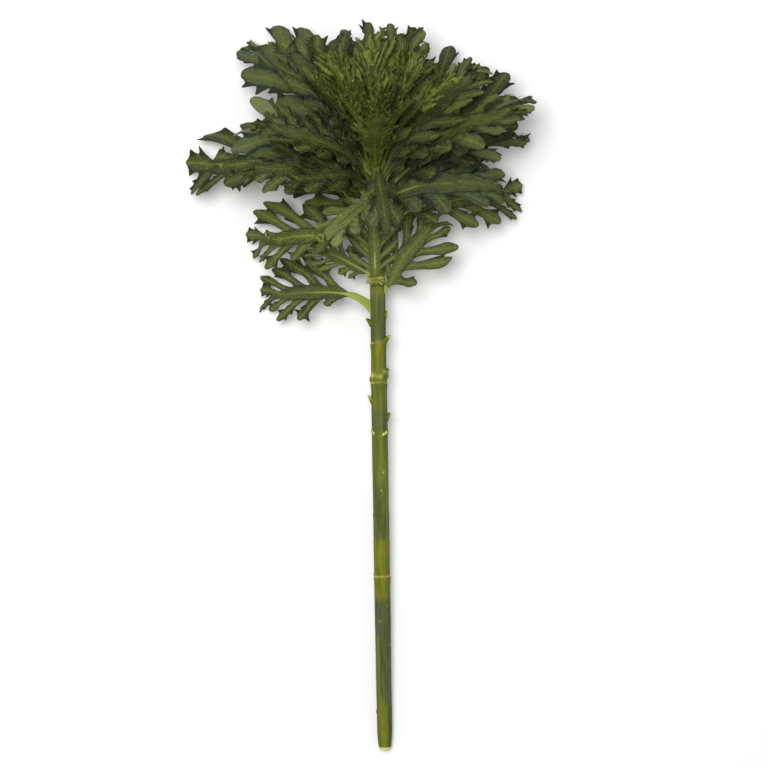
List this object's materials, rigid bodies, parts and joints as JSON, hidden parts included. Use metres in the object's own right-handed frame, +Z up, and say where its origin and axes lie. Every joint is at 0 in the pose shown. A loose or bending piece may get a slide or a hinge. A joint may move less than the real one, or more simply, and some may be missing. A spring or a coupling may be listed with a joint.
{
  "type": "ornamental kale stem",
  "caption": "Cut stem of ornamental kale lying flat: long bare stalk with leaf scars, and a loose head of deeply lobed, toothed leaves.",
  "frame": {"origin": "below the middle of the bounding box, at the height of the surface the stem lies on", "axes": "+Y along the stalk from its cut end to the head, +Z up from the surface the stem lies on, +X to the right seen from above with the head away"},
  "size_m": [0.2898, 0.6092, 0.1464],
  "materials": {
    "stalk": "smooth waxy skin, yellow-green with grey-green bands",
    "outer_leaf": "dark moss green, waxy, with paler veins",
    "inner_leaf": "moss green, waxy, with paler veins",
    "heart_leaf": "bright green, satin, finely veined"
  },
  "bodies": {
    "root": {"stalk": "stalk", "low_left_leaf_1": "outer_leaf", "low_right_small_leaf": "outer_leaf", "low_front_leaf": "outer_leaf", "low_left_small_leaf": "outer_leaf", "low_under_leaf_1": "outer_leaf", "low_under_leaf_2": "outer_leaf", "low_left_leaf_2": "outer_leaf", "low_right_leaf": "outer_leaf", "outer_leaf_1": "outer_leaf", "outer_leaf_2": "outer_leaf", "outer_leaf_3": "outer_leaf", "outer_leaf_4": "outer_leaf", "outer_leaf_5": "outer_leaf", "outer_leaf_6": "outer_leaf", "outer_leaf_7": "outer_leaf", "outer_leaf_8": "outer_leaf", "outer_leaf_9": "outer_leaf", "middle_leaf_1": "inner_leaf", "middle_leaf_2": "inner_leaf", "middle_leaf_3": "inner_leaf", "middle_leaf_4": "inner_leaf", "middle_leaf_5": "inner_leaf", "middle_leaf_6": "inner_leaf", "front_leaf_1": "inner_leaf", "front_leaf_2": "inner_leaf", "front_leaf_3": "inner_leaf", "heart_leaf_1": "heart_leaf", "heart_leaf_2": "heart_leaf", "heart_leaf_3": "heart_leaf", "heart_leaf_4": "heart_leaf", "heart_leaf_5": "heart_leaf", "heart_leaf_6": "heart_leaf", "heart_leaf_7": "heart_leaf", "heart_leaf_8": "heart_leaf", "heart_leaf_9": "heart_leaf", "heart_leaf_10": "heart_leaf", "heart_leaf_11": "heart_leaf", "heart_leaf_12": "heart_leaf", "heart_leaf_13": "heart_leaf", "heart_leaf_14": "heart_leaf", "heart_leaf_15": "heart_leaf", "heart_leaf_16": "heart_leaf", "heart_leaf_17": "heart_leaf", "heart_leaf_18": "heart_leaf", "heart_leaf_19": "heart_leaf", "heart_leaf_20": "heart_leaf", "heart_leaf_21": "heart_leaf", "heart_leaf_22": "heart_leaf", "heart_leaf_23": "heart_leaf", "heart_leaf_24": "heart_leaf", "heart_leaf_25": "heart_leaf", "heart_leaf_26": "heart_leaf"}
  },
  "joints": []
}
